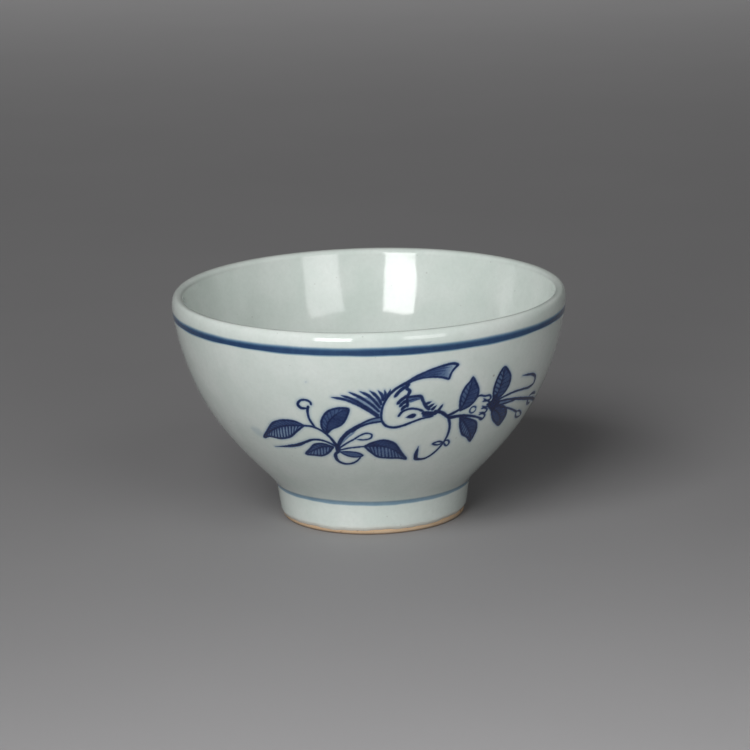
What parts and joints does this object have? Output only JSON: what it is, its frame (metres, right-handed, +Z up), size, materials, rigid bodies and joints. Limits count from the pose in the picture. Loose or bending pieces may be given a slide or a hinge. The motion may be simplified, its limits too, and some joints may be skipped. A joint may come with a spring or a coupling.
{
  "type": "teacup",
  "caption": "Small footed teacup without a handle, in pale glazed stoneware with a blue band under the lip, a blue band above the foot and a painted bird on a branch.",
  "frame": {"origin": "centre of the face that the foot ring rests on", "axes": "+Z up along the axis of the cup, -Y towards the painted side"},
  "size_m": [0.09, 0.09, 0.0523],
  "materials": {
    "bare_clay": "fired, unglazed, toasted orange-brown",
    "pale_glaze": "glossy, pale grey-green",
    "rim_blue": "glossy, dark cobalt blue",
    "foot_blue": "glossy, thin grey-blue"
  },
  "bodies": {
    "root": {"bowl": "bare_clay", "foot_ring": "bare_clay", "inner_glaze": "pale_glaze", "wall_glaze": "pale_glaze", "foot_glaze": "pale_glaze", "base_glaze": "pale_glaze", "rim_line": "rim_blue", "foot_line": "foot_blue"}
  },
  "joints": []
}
